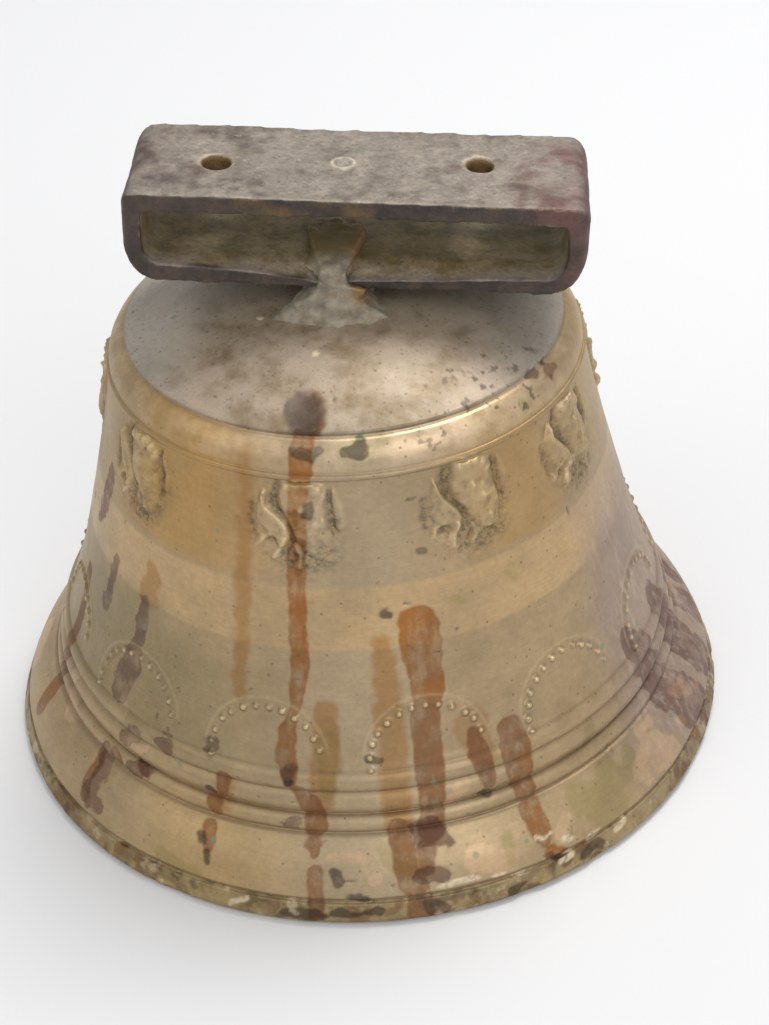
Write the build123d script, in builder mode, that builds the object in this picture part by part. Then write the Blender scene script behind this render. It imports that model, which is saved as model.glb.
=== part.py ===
from build123d import *

import math
import os

# Alpine cast cow bell with a wide strap loop, in millimetres.
# Frame: the origin is the centre of the mouth, +Z runs up the bell's axis,
# and the strap loop is long in X. The bell stands on its mouth rim at Z = 0.

os.makedirs("parts", exist_ok=True)

# ---- bell shell: outside ----
MOUTH_R = 95.0
CROWN_TOP_Z = 128.7
SHOULDER_R, SHOULDER_Z = 54.0, 117.1  # where the crown dome meets the groove
RIM_FLAT_R = 93.6  # outer edge of the flat that the bell stands on
LIP_GROOVE_Z, LIP_GROOVE_R = 6.2, 92.7
WAIST_FOOT = (78.4, 34.8)  # (radius, height) just above the rings
WAIST_HEAD = (59.0, 107.4)  # just under the shoulder band

# ---- bell shell: inside ----
RIM_INNER_R = 89.8
CROWN_SEAT_R, CROWN_SEAT_Z = 12.0, 122.2  # flat seat for the staple's collar
INNER_SHOULDER = (47.0, 112.6)

# ---- strap loop: a cast frame, tilted about Y, low end at +X ----
LOOP_W, LOOP_D, LOOP_H = 108.7, 36.0, 22.8
LOOP_X, LOOP_Z = 4.5, 133.7  # centre of its underside
LOOP_TILT = math.radians(3.68)
BAR_T = 4.6  # top and bottom bars
END_T = 4.8  # end walls
LOW_CORNER_R, HIGH_CORNER_R = 10.0, 4.0  # outline seen from the front
SLOT_LOW_R, SLOT_HIGH_R = 4.5, 2.0
FRONT_CORNER_R, BACK_CORNER_R = 3.4, 4.4  # outline seen from above
HOLE_R = 3.1
HOLE_WEAR = 0.8  # worn chamfer round each hole
HOLE_SPOTS = [(-33.5, -0.4), (28.5, 2.1)]  # on the loop's top face

# ---- neck: the bronze run round the loop's floor ----
# places are (along the loop, across it), from the loop's centre
FOOT_X = -4.6
FOOT_TOP_W = 10.0
FOOT_BASE = (22.0, 45.0)
LUMP_SPOT, LUMP_R = (-5.0, -2.0), 7.2
LUMP_TOP = 7.8  # above the loop's underside
TONGUE_X, TONGUE_W = -4.6, 6.0
TONGUE_Y = -19.6  # how far it laps over the loop's front

# ---- clapper hanger ----
SHANK_R = 3.5
COLLAR_R, COLLAR_T = 8.0, 4.2
STAPLE_WIRE_R, STAPLE_RING_R = 3.0, 9.0
LINK_WIRE_R, LINK_RING_R = 2.5, 7.5
EYE_WIRE_R, EYE_RING_R = 2.75, 7.25
HANG_GAP = 0.3  # play between one ring and the next
SWING_Z = 100.0  # centre of the staple's lower wire: the clapper's main pivot
SWAY_Z = 85.0  # centre of the link's lower wire: the second pivot

# ---- clapper ----
ROD_R = 5.0
BALL_R, BALL_Z = 17.0, 23.0
BALL_FLAT = 15.5  # half height between the ball's two flats
BALL_BORE_R = 4.0
PEEN_R, PEEN_T = 6.0, 3.0

dome_drop = CROWN_TOP_Z - SHOULDER_Z
DOME_R = (SHOULDER_R**2 + dome_drop**2) / (2 * dome_drop)
DOME_CENTRE_Z = CROWN_TOP_Z - DOME_R


def dome_z(radius):
    """Height of the crown's outer surface at a radius."""
    return DOME_CENTRE_Z + math.sqrt(DOME_R**2 - radius**2)


# the loop's own directions: along it, and up through it
along = Vector(math.cos(LOOP_TILT), 0, -math.sin(LOOP_TILT))
upward = Vector(math.sin(LOOP_TILT), 0, math.cos(LOOP_TILT))
loop_base = Plane(origin=(LOOP_X, 0, LOOP_Z), x_dir=along, z_dir=upward)
loop_front = Plane(origin=(LOOP_X, 0, LOOP_Z), x_dir=along, z_dir=(0, -1, 0))


# Bell shell: one revolved casting. The outline starts at the rim and runs up
# the outside, over the crown to the shank hole, and back down the inside.
with BuildPart() as bell_shell:
    with BuildSketch(Plane.XZ):
        with BuildLine():
            Line((RIM_INNER_R, 0), (RIM_FLAT_R, 0))
            ThreePointArc((RIM_FLAT_R, 0), (94.6, 0.6), (MOUTH_R, 1.7))
            Line((MOUTH_R, 1.7), (93.5, LIP_GROOVE_Z - 0.6))
            # lip groove
            ThreePointArc(
                (93.5, LIP_GROOVE_Z - 0.6),
                (LIP_GROOVE_R, LIP_GROOVE_Z),
                (93.0, LIP_GROOVE_Z + 0.8),
            )
            # flare
            Spline((93.0, LIP_GROOVE_Z + 0.8), (89.9, 12.8), (84.2, 19.2))
            # three rings, largest below
            Line((84.2, 19.2), (83.0, 19.7))
            ThreePointArc((83.0, 19.7), (83.1, 22.1), (80.8, 23.9))
            ThreePointArc((80.8, 23.9), (81.7, 27.2), (79.9, 30.0))
            ThreePointArc((79.9, 30.0), (80.1, 32.5), WAIST_FOOT)
            # waist
            Spline(WAIST_FOOT, (74.3, 45.4), (69.7, 61.2), (65.2, 78.9), (61.6, 94.7), WAIST_HEAD)
            # raised line, rounded shoulder band and shoulder groove
            ThreePointArc(WAIST_HEAD, (59.5, 108.2), (58.7, 109.0))
            ThreePointArc((58.7, 109.0), (57.7, 113.0), (54.9, 115.9))
            ThreePointArc((54.9, 115.9), (54.2, 116.2), (SHOULDER_R, SHOULDER_Z))
            # crown dome, down to the shank hole
            ThreePointArc((SHOULDER_R, SHOULDER_Z), (30, dome_z(30)), (SHANK_R, dome_z(SHANK_R)))
            Line((SHANK_R, dome_z(SHANK_R)), (SHANK_R, CROWN_SEAT_Z))
            # inside: seat, crown, shoulder, wall, sound bow and rim
            Line((SHANK_R, CROWN_SEAT_Z), (CROWN_SEAT_R, CROWN_SEAT_Z))
            ThreePointArc((CROWN_SEAT_R, CROWN_SEAT_Z), (30, 119.4), INNER_SHOULDER)
            ThreePointArc(INNER_SHOULDER, (51.8, 109.0), (54.2, 103.6))
            Spline((54.2, 103.6), (60.6, 78.9), (69.5, 45.4), (74.9, 24.0), (80.5, 12.5), (RIM_INNER_R, 0))
        make_face()
    revolve(axis=Axis.Z)
bell_shell.part.label = "bell_shell"


# Strap loop: a frame seen from the front, rounded again as seen from above.
with BuildPart() as strap_loop:
    with BuildSketch(loop_front) as frame_outline:
        with Locations((0, LOOP_H / 2)):
            Rectangle(LOOP_W, LOOP_H)
        fillet(frame_outline.vertices().group_by(Axis.Y)[0], radius=LOW_CORNER_R)
        fillet(frame_outline.vertices().group_by(Axis.Y)[-1], radius=HIGH_CORNER_R)
    extrude(amount=LOOP_D / 2, both=True)
    with BuildSketch(loop_front) as slot_outline:
        with Locations((0, LOOP_H / 2)):
            Rectangle(LOOP_W - 2 * END_T, LOOP_H - 2 * BAR_T)
        fillet(slot_outline.vertices().group_by(Axis.Y)[0], radius=SLOT_LOW_R)
        fillet(slot_outline.vertices().group_by(Axis.Y)[-1], radius=SLOT_HIGH_R)
    extrude(amount=LOOP_D, both=True, mode=Mode.SUBTRACT)
    with BuildSketch(loop_base) as plan_outline:
        Rectangle(LOOP_W, LOOP_D)
        fillet(plan_outline.vertices().group_by(Axis.Y)[0], radius=FRONT_CORNER_R)
        fillet(plan_outline.vertices().group_by(Axis.Y)[-1], radius=BACK_CORNER_R)
    extrude(amount=LOOP_H, mode=Mode.INTERSECT)
    # strap rivet holes, with worn edges
    with BuildSketch(loop_base.offset(LOOP_H)):
        with Locations(*HOLE_SPOTS):
            Circle(HOLE_R)
    extrude(amount=-2 * BAR_T, mode=Mode.SUBTRACT)
    hole_rims = strap_loop.edges().filter_by(GeomType.CIRCLE)
    hole_rims = hole_rims.filter_by(lambda edge: abs(edge.radius - HOLE_R) < 0.01)
    chamfer(hole_rims.group_by(Axis.Z)[-1] + hole_rims.group_by(Axis.Z)[-2], length=HOLE_WEAR)
    # hole for the staple's shank through the floor
    with BuildSketch(Plane.XY.offset(LOOP_Z - BAR_T)):
        Circle(SHANK_R)
    extrude(amount=3 * BAR_T, mode=Mode.SUBTRACT)
strap_loop.part.label = "strap_loop"


# Neck foot: tapers from the crown up to the loop's underside.
with BuildPart() as neck_foot:
    with BuildSketch(Plane.XY.offset(CROWN_TOP_Z - 4.0)):
        with Locations((LOOP_X + FOOT_X, 0)):
            RectangleRounded(FOOT_BASE[0], FOOT_BASE[1], 6.0)
    with BuildSketch(loop_base):
        with Locations((FOOT_X, 0)):
            RectangleRounded(FOOT_TOP_W, -2 * TONGUE_Y, 3.0)
    loft()
    with Locations((0, 0, DOME_CENTRE_Z)):
        Sphere(DOME_R, mode=Mode.SUBTRACT)
    with BuildSketch(Plane.XY.offset(CROWN_TOP_Z - BAR_T)):
        Circle(SHANK_R)
    extrude(amount=4 * BAR_T, mode=Mode.SUBTRACT)
neck_foot.part.label = "neck_foot"


# Neck head: the lump on the loop's floor, with a tongue down the front.
# Its side view runs from the front face to the back, and its plan is then
# a round lump that narrows into the tongue.
head_side = Plane(origin=(LOOP_X, 0, LOOP_Z), x_dir=(0, 1, 0), z_dir=along)
SHANK_TOP_Z = LOOP_Z + BAR_T + 1.6
with BuildPart() as neck_head:
    with BuildSketch(head_side):
        with BuildLine():
            Polyline(
                (-LOOP_D / 2, BAR_T),
                (-LOOP_D / 2, 0),
                (TONGUE_Y, 0),
                (TONGUE_Y + 0.3, BAR_T),
            )
            Spline((TONGUE_Y + 0.3, BAR_T), (-15.0, 6.0), (-3.0, LUMP_TOP), (7.0, BAR_T))
            Line((7.0, BAR_T), (-LOOP_D / 2, BAR_T))
        make_face()
    extrude(amount=2 * LUMP_R, both=True)
    with BuildSketch(loop_base):
        with Locations(LUMP_SPOT):
            Circle(LUMP_R)
        with Locations((TONGUE_X, TONGUE_Y + 2.0)):
            Rectangle(TONGUE_W, 4.0)
        make_hull()
    extrude(amount=LOOP_H, mode=Mode.INTERSECT)
    with BuildSketch(Plane.XY.offset(LOOP_Z)):
        Circle(SHANK_R)
    extrude(amount=SHANK_TOP_Z - LOOP_Z, mode=Mode.SUBTRACT)
neck_head.part.label = "neck_head"


# Clapper staple: shank up through crown and neck, collar, and a ring below.
staple_ring_z = SWING_Z + STAPLE_RING_R
with BuildPart() as clapper_staple:
    with BuildSketch(Plane.XY.offset(CROWN_SEAT_Z)):
        Circle(SHANK_R)
    extrude(amount=SHANK_TOP_Z - CROWN_SEAT_Z)
    with BuildSketch(Plane.XY.offset(CROWN_SEAT_Z - COLLAR_T)):
        Circle(COLLAR_R)
    extrude(amount=COLLAR_T)
    with Locations(Location((0, 0, staple_ring_z), (90, 0, 0))):
        Torus(STAPLE_RING_R, STAPLE_WIRE_R)
clapper_staple.part.label = "clapper_staple"


# Hanger link: a long link in the YZ plane, round the staple's lower wire.
link_top_z = SWING_Z + STAPLE_WIRE_R + HANG_GAP + LINK_WIRE_R
link_upper_arc_z = link_top_z - LINK_RING_R
link_lower_arc_z = SWAY_Z + LINK_RING_R
with BuildPart() as hanger_link:
    with BuildLine(Plane.YZ) as link_path:
        ThreePointArc((-LINK_RING_R, link_upper_arc_z), (0, link_top_z), (LINK_RING_R, link_upper_arc_z))
        Line((LINK_RING_R, link_upper_arc_z), (LINK_RING_R, link_lower_arc_z))
        ThreePointArc((LINK_RING_R, link_lower_arc_z), (0, SWAY_Z), (-LINK_RING_R, link_lower_arc_z))
        Line((-LINK_RING_R, link_lower_arc_z), (-LINK_RING_R, link_upper_arc_z))
    with BuildSketch(Plane(origin=(0, LINK_RING_R, link_lower_arc_z), z_dir=(0, 0, 1))):
        Circle(LINK_WIRE_R)
    sweep()
hanger_link.part.label = "hanger_link"


# Clapper rod: an eye on the link's lower wire, a rod, and a peened end.
eye_top_z = SWAY_Z + LINK_WIRE_R + HANG_GAP + EYE_WIRE_R
eye_z = eye_top_z - EYE_RING_R
ball_top_z = BALL_Z + BALL_FLAT
ball_bottom_z = BALL_Z - BALL_FLAT
with BuildPart() as clapper_rod:
    with Locations(Location((0, 0, eye_z), (90, 0, 0))):
        Torus(EYE_RING_R, EYE_WIRE_R)
    with BuildSketch(Plane.XY.offset(ball_top_z)):
        Circle(ROD_R)
    extrude(amount=eye_z - EYE_RING_R - ball_top_z)
    with BuildSketch(Plane.XY.offset(ball_bottom_z)):
        Circle(BALL_BORE_R)
    extrude(amount=ball_top_z - ball_bottom_z)
    with BuildSketch(Plane.XY.offset(ball_bottom_z)):
        Circle(PEEN_R)
    extrude(amount=-PEEN_T)
    fillet(clapper_rod.edges().group_by(Axis.Z)[0], radius=1.8)
clapper_rod.part.label = "clapper_rod"


# Clapper ball: a forged ball with a bore and a flat at each end.
with BuildPart() as clapper_ball:
    with Locations((0, 0, BALL_Z)):
        Sphere(BALL_R)
        Box(3 * BALL_R, 3 * BALL_R, 2 * BALL_FLAT, mode=Mode.INTERSECT)
        Cylinder(BALL_BORE_R, 3 * BALL_R, mode=Mode.SUBTRACT)
clapper_ball.part.label = "clapper_ball"


for piece in (
    bell_shell,
    strap_loop,
    neck_foot,
    neck_head,
    clapper_staple,
    hanger_link,
    clapper_rod,
    clapper_ball,
):
    export_step(piece.part, f"parts/{piece.part.label}.step")
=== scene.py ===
import math

import bmesh
import bpy
import numpy as np
from mathutils import Matrix, Vector


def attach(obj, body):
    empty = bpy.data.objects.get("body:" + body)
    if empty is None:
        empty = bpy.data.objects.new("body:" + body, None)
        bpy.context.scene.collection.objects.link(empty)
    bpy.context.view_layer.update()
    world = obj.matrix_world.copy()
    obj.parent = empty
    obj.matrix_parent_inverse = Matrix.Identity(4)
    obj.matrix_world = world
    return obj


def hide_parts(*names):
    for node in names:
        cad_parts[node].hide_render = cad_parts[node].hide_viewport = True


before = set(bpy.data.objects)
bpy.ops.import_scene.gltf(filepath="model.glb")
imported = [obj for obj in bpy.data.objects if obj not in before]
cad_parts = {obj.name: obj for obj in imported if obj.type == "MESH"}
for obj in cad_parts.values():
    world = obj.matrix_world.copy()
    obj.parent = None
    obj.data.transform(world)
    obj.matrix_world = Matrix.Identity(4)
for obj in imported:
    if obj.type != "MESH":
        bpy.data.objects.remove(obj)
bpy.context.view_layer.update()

# An old Alpine cow bell: the cast bell with its rings, beaded arches and floral
# reliefs, the loop for the neck strap, the rough bronze neck between them, and a
# forged clapper inside. Lengths are millimetres until a mesh is made.
# Round the bell, azimuth is in degrees from the front, growing to the right.
MM = 0.001

# ---- smooth noise
LATTICE = np.random.default_rng(11).random((32, 32, 32)).astype(np.float32)


def noise(points, size, seed=0.0):
    """Smooth noise from -1 to 1 at (n, 3) points, with blobs about `size` across."""
    place = points / size + seed * 7.31
    cell = np.floor(place).astype(np.int64)
    part = (place - cell).astype(np.float32)
    part = part * part * (3 - 2 * part)
    near, far = cell % 32, (cell + 1) % 32
    total = 0
    for corner in range(8):
        pick = [(corner >> axis) & 1 for axis in range(3)]
        index = [far[:, a] if pick[a] else near[:, a] for a in range(3)]
        weight = np.prod([part[:, a] if pick[a] else 1 - part[:, a] for a in range(3)], axis=0)
        total = total + weight * LATTICE[index[0], index[1], index[2]]
    return total * 2 - 1


def fractal(points, size, octaves=4, seed=0.0):
    """Noise with detail at ever smaller sizes, roughly -1 to 1."""
    total, strength = 0, 0.5
    for octave in range(octaves):
        total = total + strength * noise(points, size / 2**octave, seed + octave)
        strength *= 0.6
    return total * 1.3


def step(low, high, value):
    """0 below low, 1 above high, smooth between."""
    share = np.clip((value - low) / (high - low), 0, 1)
    return share * share * (3 - 2 * share)


# ---- the bell's outline
def line(start, end, spacing):
    """Points from start to just before end."""
    count = max(1, round(math.dist(start, end) / spacing))
    return [np.array(start) + (np.array(end) - np.array(start)) * i / count for i in range(count)]


def arc(start, middle, end, spacing):
    """Points along the circle through three points, from start to just before end."""
    a, b, c = (complex(*p) for p in (start, middle, end))
    w = (c - a) / (b - a)
    centre = a + (b - a) * (w - abs(w) ** 2) / (w - w.conjugate())
    first, mid, last = (np.angle(p - centre) for p in (a, b, c))
    turn = (last - first) % (2 * math.pi)
    if (mid - first) % (2 * math.pi) > turn:
        turn -= 2 * math.pi
    radius = abs(a - centre)
    count = max(2, round(abs(turn) * radius / spacing))
    spots = [centre + radius * np.exp(1j * (first + turn * i / count)) for i in range(count)]
    return [np.array((s.real, s.imag)) for s in spots]


def curve(points, spacing):
    """Points along the smooth cubic curve through the given ones, to just before the last."""
    p = np.array(points, float)
    knots = np.concatenate([[0], np.cumsum(np.linalg.norm(np.diff(p, axis=0), axis=1))])
    gaps = np.diff(knots)
    n = len(p)
    system, known = np.eye(n), np.zeros((n, 2))
    for i in range(1, n - 1):
        system[i, i - 1 : i + 2] = gaps[i - 1], 2 * (gaps[i - 1] + gaps[i]), gaps[i]
        known[i] = 6 * ((p[i + 1] - p[i]) / gaps[i] - (p[i] - p[i - 1]) / gaps[i - 1])
    bend = np.linalg.solve(system, known)
    places = np.linspace(0, knots[-1], max(2, round(knots[-1] / spacing)), endpoint=False)
    made = []
    for t in places:
        i = min(np.searchsorted(knots, t, side="right") - 1, n - 2)
        left, right, gap = t - knots[i], knots[i + 1] - t, gaps[i]
        made.append(
            (bend[i] * right**3 + bend[i + 1] * left**3) / (6 * gap)
            + (p[i] / gap - bend[i] * gap / 6) * right
            + (p[i + 1] / gap - bend[i + 1] * gap / 6) * left
        )
    return made


# (radius, height) places, the same as the CAD casting's
SHOULDER, APEX_Z, SHANK_R = (54.0, 117.1), 128.7, 3.5
DOME_DROP = APEX_Z - SHOULDER[1]
DOME_R = (SHOULDER[0] ** 2 + DOME_DROP**2) / (2 * DOME_DROP)


def dome(radius):
    """(radius, height) on the crown."""
    return (radius, APEX_Z - DOME_R + math.sqrt(DOME_R**2 - radius**2))


OUTSIDE = (
    line((89.8, 0), (93.6, 0), 0.7)
    + arc((93.6, 0), (94.6, 0.6), (95, 1.7), 0.3)
    + line((95, 1.7), (93.5, 5.6), 0.4)
    + arc((93.5, 5.6), (92.7, 6.2), (93, 7), 0.25)
    + curve([(93, 7), (89.9, 12.8), (84.2, 19.2)], 0.5)
    + line((84.2, 19.2), (83, 19.7), 0.3)
    + arc((83, 19.7), (83.1, 22.1), (80.8, 23.9), 0.3)
    + arc((80.8, 23.9), (81.7, 27.2), (79.9, 30), 0.35)
    + arc((79.9, 30), (80.1, 32.5), (78.4, 34.8), 0.35)
    + curve([(78.4, 34.8), (74.3, 45.4), (69.7, 61.2), (65.2, 78.9), (61.6, 94.7), (59, 107.4)], 0.48)
    + arc((59, 107.4), (59.5, 108.2), (58.7, 109), 0.25)
    + arc((58.7, 109), (57.7, 113), (54.9, 115.9), 0.4)
    + arc((54.9, 115.9), (54.2, 116.2), SHOULDER, 0.25)
    + arc(SHOULDER, dome(30), dome(SHANK_R), 0.7)
)
INSIDE = (
    line(dome(SHANK_R), (SHANK_R, 122.2), 2)
    + line((SHANK_R, 122.2), (12, 122.2), 1.5)
    + arc((12, 122.2), (30, 119.4), (47, 112.6), 1.3)
    + arc((47, 112.6), (51.8, 109), (54.2, 103.6), 1.3)
    + curve([(54.2, 103.6), (60.6, 78.9), (69.5, 45.4), (74.9, 24), (80.5, 12.5), (89.8, 0)], 1.3)
)
COLUMNS = 1200
outline = np.array(OUTSIDE + INSIDE)
rows, outer_rows = len(outline), len(OUTSIDE)
ahead, behind = np.roll(outline, -1, axis=0), np.roll(outline, 1, axis=0)
tangent = ahead - behind
tangent /= np.linalg.norm(tangent, axis=1)[:, None]
facing = np.stack([tangent[:, 1], -tangent[:, 0]], axis=1)
slant = np.clip(1 / np.maximum(np.abs(tangent[:, 1]), 0.3), 1, 2)

# one value per vertex of the bell, row by row
AZ = np.tile(np.arange(COLUMNS) * 360 / COLUMNS - 180, rows)
RAD, HIGH = np.repeat(outline[:, 0], COLUMNS), np.repeat(outline[:, 1], COLUMNS)
SLANT = np.repeat(slant, COLUMNS)
OUTER = np.repeat(np.arange(rows) < outer_rows, COLUMNS)
TURN = np.radians(AZ)
GRID = np.stack([RAD * np.sin(TURN), -RAD * np.cos(TURN), HIGH], axis=1)
WALL = OUTER & (HIGH < 117.4) & (RAD > 53)
CROWN = OUTER & (HIGH > 116.5)


def turned(azimuth):
    """Degrees from `azimuth` to each vertex, -180 to 180."""
    return (AZ - azimuth + 180) % 360 - 180


def depth_in(spine, where=WALL):
    """How deep inside a stroke each vertex is, in mm, and -9 far outside it.
    The spine is a list of (azimuth, height, half width)."""
    found = np.full(len(AZ), -9.0)
    middle = spine[len(spine) // 2][0]
    reach = max(abs(s[0] - middle) for s in spine) + math.degrees(max(s[2] for s in spine) + 9) / 55
    low, high = min(s[1] - s[2] for s in spine) - 9, max(s[1] + s[2] for s in spine) + 9
    index = np.nonzero(where & (np.abs(turned(middle)) < reach) & (HIGH > low) & (HIGH < high))[0]
    across = np.radians(turned(middle)[index]) * RAD[index]
    per_degree = np.radians(1) * RAD[index]
    pairs = list(zip(spine, spine[1:])) or [(spine[0], spine[0])]
    for (a0, z0, w0), (a1, z1, w1) in pairs:
        x0, x1 = (a0 - middle) * per_degree, (a1 - middle) * per_degree
        dx, dz = x1 - x0, (z1 - z0) * SLANT[index]
        px, pz = across - x0, (HIGH[index] - z0) * SLANT[index]
        along = np.clip((px * dx + pz * dz) / np.maximum(dx**2 + dz**2, 1e-6), 0, 1)
        inside = w0 + (w1 - w0) * along - np.hypot(px - along * dx, pz - along * dz)
        found[index] = np.maximum(found[index], inside)
    return found


# noises that many features share
coarse, medium = fractal(GRID, 26, 4, 1), fractal(GRID, 8, 4, 2)
fine, grain = fractal(GRID, 2.6, 3, 3), noise(GRID, 0.9, 4)
ragged = 0.9 * noise(GRID, 3.2, 5) + 0.5 * noise(GRID, 1.3, 6)


def stain(spines, ragged_by=0.5, soft=0.6):
    """A mask, 0 to 1, of strokes with uneven edges."""
    found = np.full(len(AZ), -9.0)
    for spine in spines:
        found = np.maximum(found, depth_in(spine))
    return step(-soft / 2, soft / 2, found + ragged_by * ragged)


# ---- ornaments in relief
relief = np.zeros(len(AZ))

# twelve arches of beads, each under a thin raised line
ARCHES, FIRST_ARCH, ARCH_Z, ARCH_R = 12, 15.4, 36.0, 14.3
BEADS, BEAD_R, BEAD_RISE = 13, 1.25, 1.0
RIDGE_OUT, RIDGE_W, RIDGE_RISE = 2.2, 0.4, 0.2
hand = np.random.default_rng(5)
beaded, ridged, in_arch = np.zeros(len(AZ)), np.zeros(len(AZ)), np.zeros(len(AZ))
for arch in range(ARCHES):
    centre = FIRST_ARCH + 30 * arch + hand.normal(0, 0.25)
    near = np.nonzero(WALL & (np.abs(turned(centre)) < 14) & (HIGH > 32) & (HIGH < 54))[0]
    x = np.radians(turned(centre)[near]) * RAD[near]
    y = (HIGH[near] - ARCH_Z) * SLANT[near]
    swing, out = np.degrees(np.arctan2(y, x)), np.hypot(x, y)
    span = step(9, 22, swing) * step(186, 172, np.where(swing < -90, swing + 360, swing))
    line_out = ARCH_R + RIDGE_OUT * (0.75 + 0.25 * np.sin(np.radians(np.clip(swing, 0, 180))))
    ridge = np.exp(-(((out - line_out) / RIDGE_W) ** 2)) * span
    ridged[near] = np.maximum(ridged[near], ridge)
    in_arch[near] = np.maximum(in_arch[near], step(ARCH_R - 1.0, ARCH_R - 2.4, out) * step(-0.5, 1.5, y))
    for bead in range(BEADS):
        place = math.radians(184 - 13.8 * bead + hand.normal(0, 0.5))
        off = hand.normal(0, 0.12, 2)
        size = BEAD_R * hand.uniform(0.9, 1.06)
        gap = np.hypot(x - ARCH_R * math.cos(place) - off[0], y - ARCH_R * math.sin(place) - off[1])
        dome_rise = step(1.25, 0.0, gap / size) * hand.uniform(0.75, 1.1)
        beaded[near] = np.maximum(beaded[near], dome_rise)
relief += BEAD_RISE * beaded + RIDGE_RISE * ridged - 0.16 * in_arch

# nine floral reliefs, as (right, up, half width) from each one's centre: a broad
# blossom leaning right, a leaf curling up at its left and a low one at its right
MOTIF_Z = 97.0
MOTIFS = [-51, -7.7, 30.4, 63.7, 104, 145.5, 186, 227, 268]
BODIES = [
    ([(0.9, 6.3, 5), (1.8, 2, 4.9), (3.6, -2.6, 4.5), (4.4, -5.4, 3.4)], 1.25),
    ([(-8.2, 6.2, 0.7), (-8.3, 3.2, 1.6), (-7.2, 0.4, 2.6), (-5.4, -2.6, 2.2), (-4, -5.2, 1.2)], 0.8),
    ([(9, 7.6, 0.8), (9.9, 3.4, 1.2), (9.8, -1, 1)], 0.28),
    ([(-9.4, -5.4, 1.2), (-7.4, -7.4, 1.8), (-4.6, -9.4, 1.6)], 0.40),
]
RIDGES = [
    ([(-8, 7.2, 0.5), (-7.5, 4.4, 0.7), (-6.4, 2.6, 0.8), (-4.7, 1, 0.8), (-3.4, -1.1, 0.8)]
     + [(-2.7, -3.4, 0.8), (-3.8, -5.8, 0.8), (-5.9, -9.4, 0.7)], 0.85),
    ([(-10.1, -6.5, 0.6), (-8.4, -4.9, 0.8), (-6.7, -3.6, 0.6)], 0.50),
    ([(3.3, 0.8, 0.5), (5, 0.4, 0.7), (6.3, 1.2, 0.5)], 0.32),
    ([(-0.6, -5.2, 0.6), (0.8, -8.2, 0.6), (0.2, -11.2, 0.5)], 0.40),
    ([(8.9, 8.6, 0.5), (10.5, 4.6, 0.6), (10.6, -0.4, 0.5)], 0.22),
]
KNOBS = [(-2.0, 9.4, 1.2), (0.2, 10.3, 1.3), (2.5, 10.2, 1.3)]
KNOBS += [(4.7, 8.9, 1.2), (6.1, 6.9, 1.1), (1.1, 3.9, 0.8)]
HOLLOWS = [
    [(-4.6, 9.4, 0.8), (-5.5, 6.6, 1), (-5, 3.9, 0.9), (-3.5, 1.3, 0.7)]
    + [(-1.8, -1.6, 0.6), (-1.2, -4.2, 0.6)],
    [(-11.4, 3, 0.8), (-11.4, -0.6, 1), (-11.2, -3.8, 0.9)],
    [(-7.8, -5.6, 0.6), (-6, -5, 0.6)],
    [(7.6, 8, 0.6), (8.2, 3, 0.7), (8.6, -2, 0.8)],
]


def stroke_gap(spine, x, y):
    """Distance from a stroke's spine in half widths, for each (x, y)."""
    found = np.full(len(x), 9.0)
    for (x0, y0, w0), (x1, y1, w1) in zip(spine, spine[1:]):
        dx, dy = x1 - x0, y1 - y0
        along = np.clip(((x - x0) * dx + (y - y0) * dy) / (dx * dx + dy * dy), 0, 1)
        gap = np.hypot(x - x0 - along * dx, y - y0 - along * dy) / (w0 + (w1 - w0) * along)
        found = np.minimum(found, gap)
    return found


crusted, carved = np.zeros(len(AZ)), np.zeros(len(AZ))
for motif in MOTIFS:
    near = np.nonzero(WALL & (np.abs(turned(motif)) < 17) & (HIGH > 78) & (HIGH < 113))[0]
    x = np.radians(turned(motif)[near]) * RAD[near] + 0.7 * noise(GRID[near], 4, motif)
    y = (HIGH[near] - MOTIF_Z) * SLANT[near] + 0.7 * noise(GRID[near], 4, motif + 3)
    body, crest, low = np.zeros(len(near)), np.zeros(len(near)), np.zeros(len(near))
    for spine, rise in BODIES:
        gap = stroke_gap(spine, x, y)
        swell = 0.55 * step(1.12, 0.75, gap) + 0.6 * step(1.05, 0.1, gap)
        body = np.maximum(body, rise * hand.uniform(0.85, 1.1) * swell)
    for spine, rise in RIDGES:
        gap = stroke_gap(spine, x, y)
        crest = np.maximum(crest, rise * hand.uniform(0.8, 1.15) * np.exp(-1.3 * gap**2))
    for kx, ky, size in KNOBS:
        gap = np.hypot(x - kx, y - ky) / (size * hand.uniform(0.9, 1.1))
        crest = np.maximum(crest, 0.85 * np.exp(-1.2 * gap**2))
    for spine in HOLLOWS:
        low = np.maximum(low, np.exp(-0.9 * stroke_gap(spine, x, y) ** 2))
    ground = step(1.15, 0.7, np.hypot((x - 0.3) / 11.5, (y + 1.6) / 13.5))
    heavy = step(1.15, 0.3, np.hypot((x - 2.0) / 8.5, (y + 8.6) / 5.5))
    rough = 0.16 * grain[near] + 0.30 * noise(GRID[near], 1.9, 8)
    blossom = step(1.0, 0.6, stroke_gap(BODIES[0][0], x, y))
    petals = np.sin(2.2 * (x - 0.28 * y) + 1.5 * noise(GRID[near], 4, 9)) * blossom
    here = body + crest + 0.16 * petals * step(8, 3, y) - 0.5 * low
    relief[near] += here + rough * (0.6 * ground + 1.2 * heavy) - 0.15 * ground * (body < 0.1)
    high_spots = 1.2 * crest + 0.2 * body + 0.9 * rough * ground - low
    carved[near] = np.maximum(carved[near], np.clip(high_spots, 0, 1))
    dirt = 0.8 * low + 0.55 * heavy
    dirt = dirt + ground * (0.35 * step(0.5, 0.1, body) + 0.3 * step(0.0, 0.6, -rough * 4))
    crusted[near] = np.maximum(crusted[near], np.clip(dirt - 0.6 * crest, 0, 1))

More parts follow.
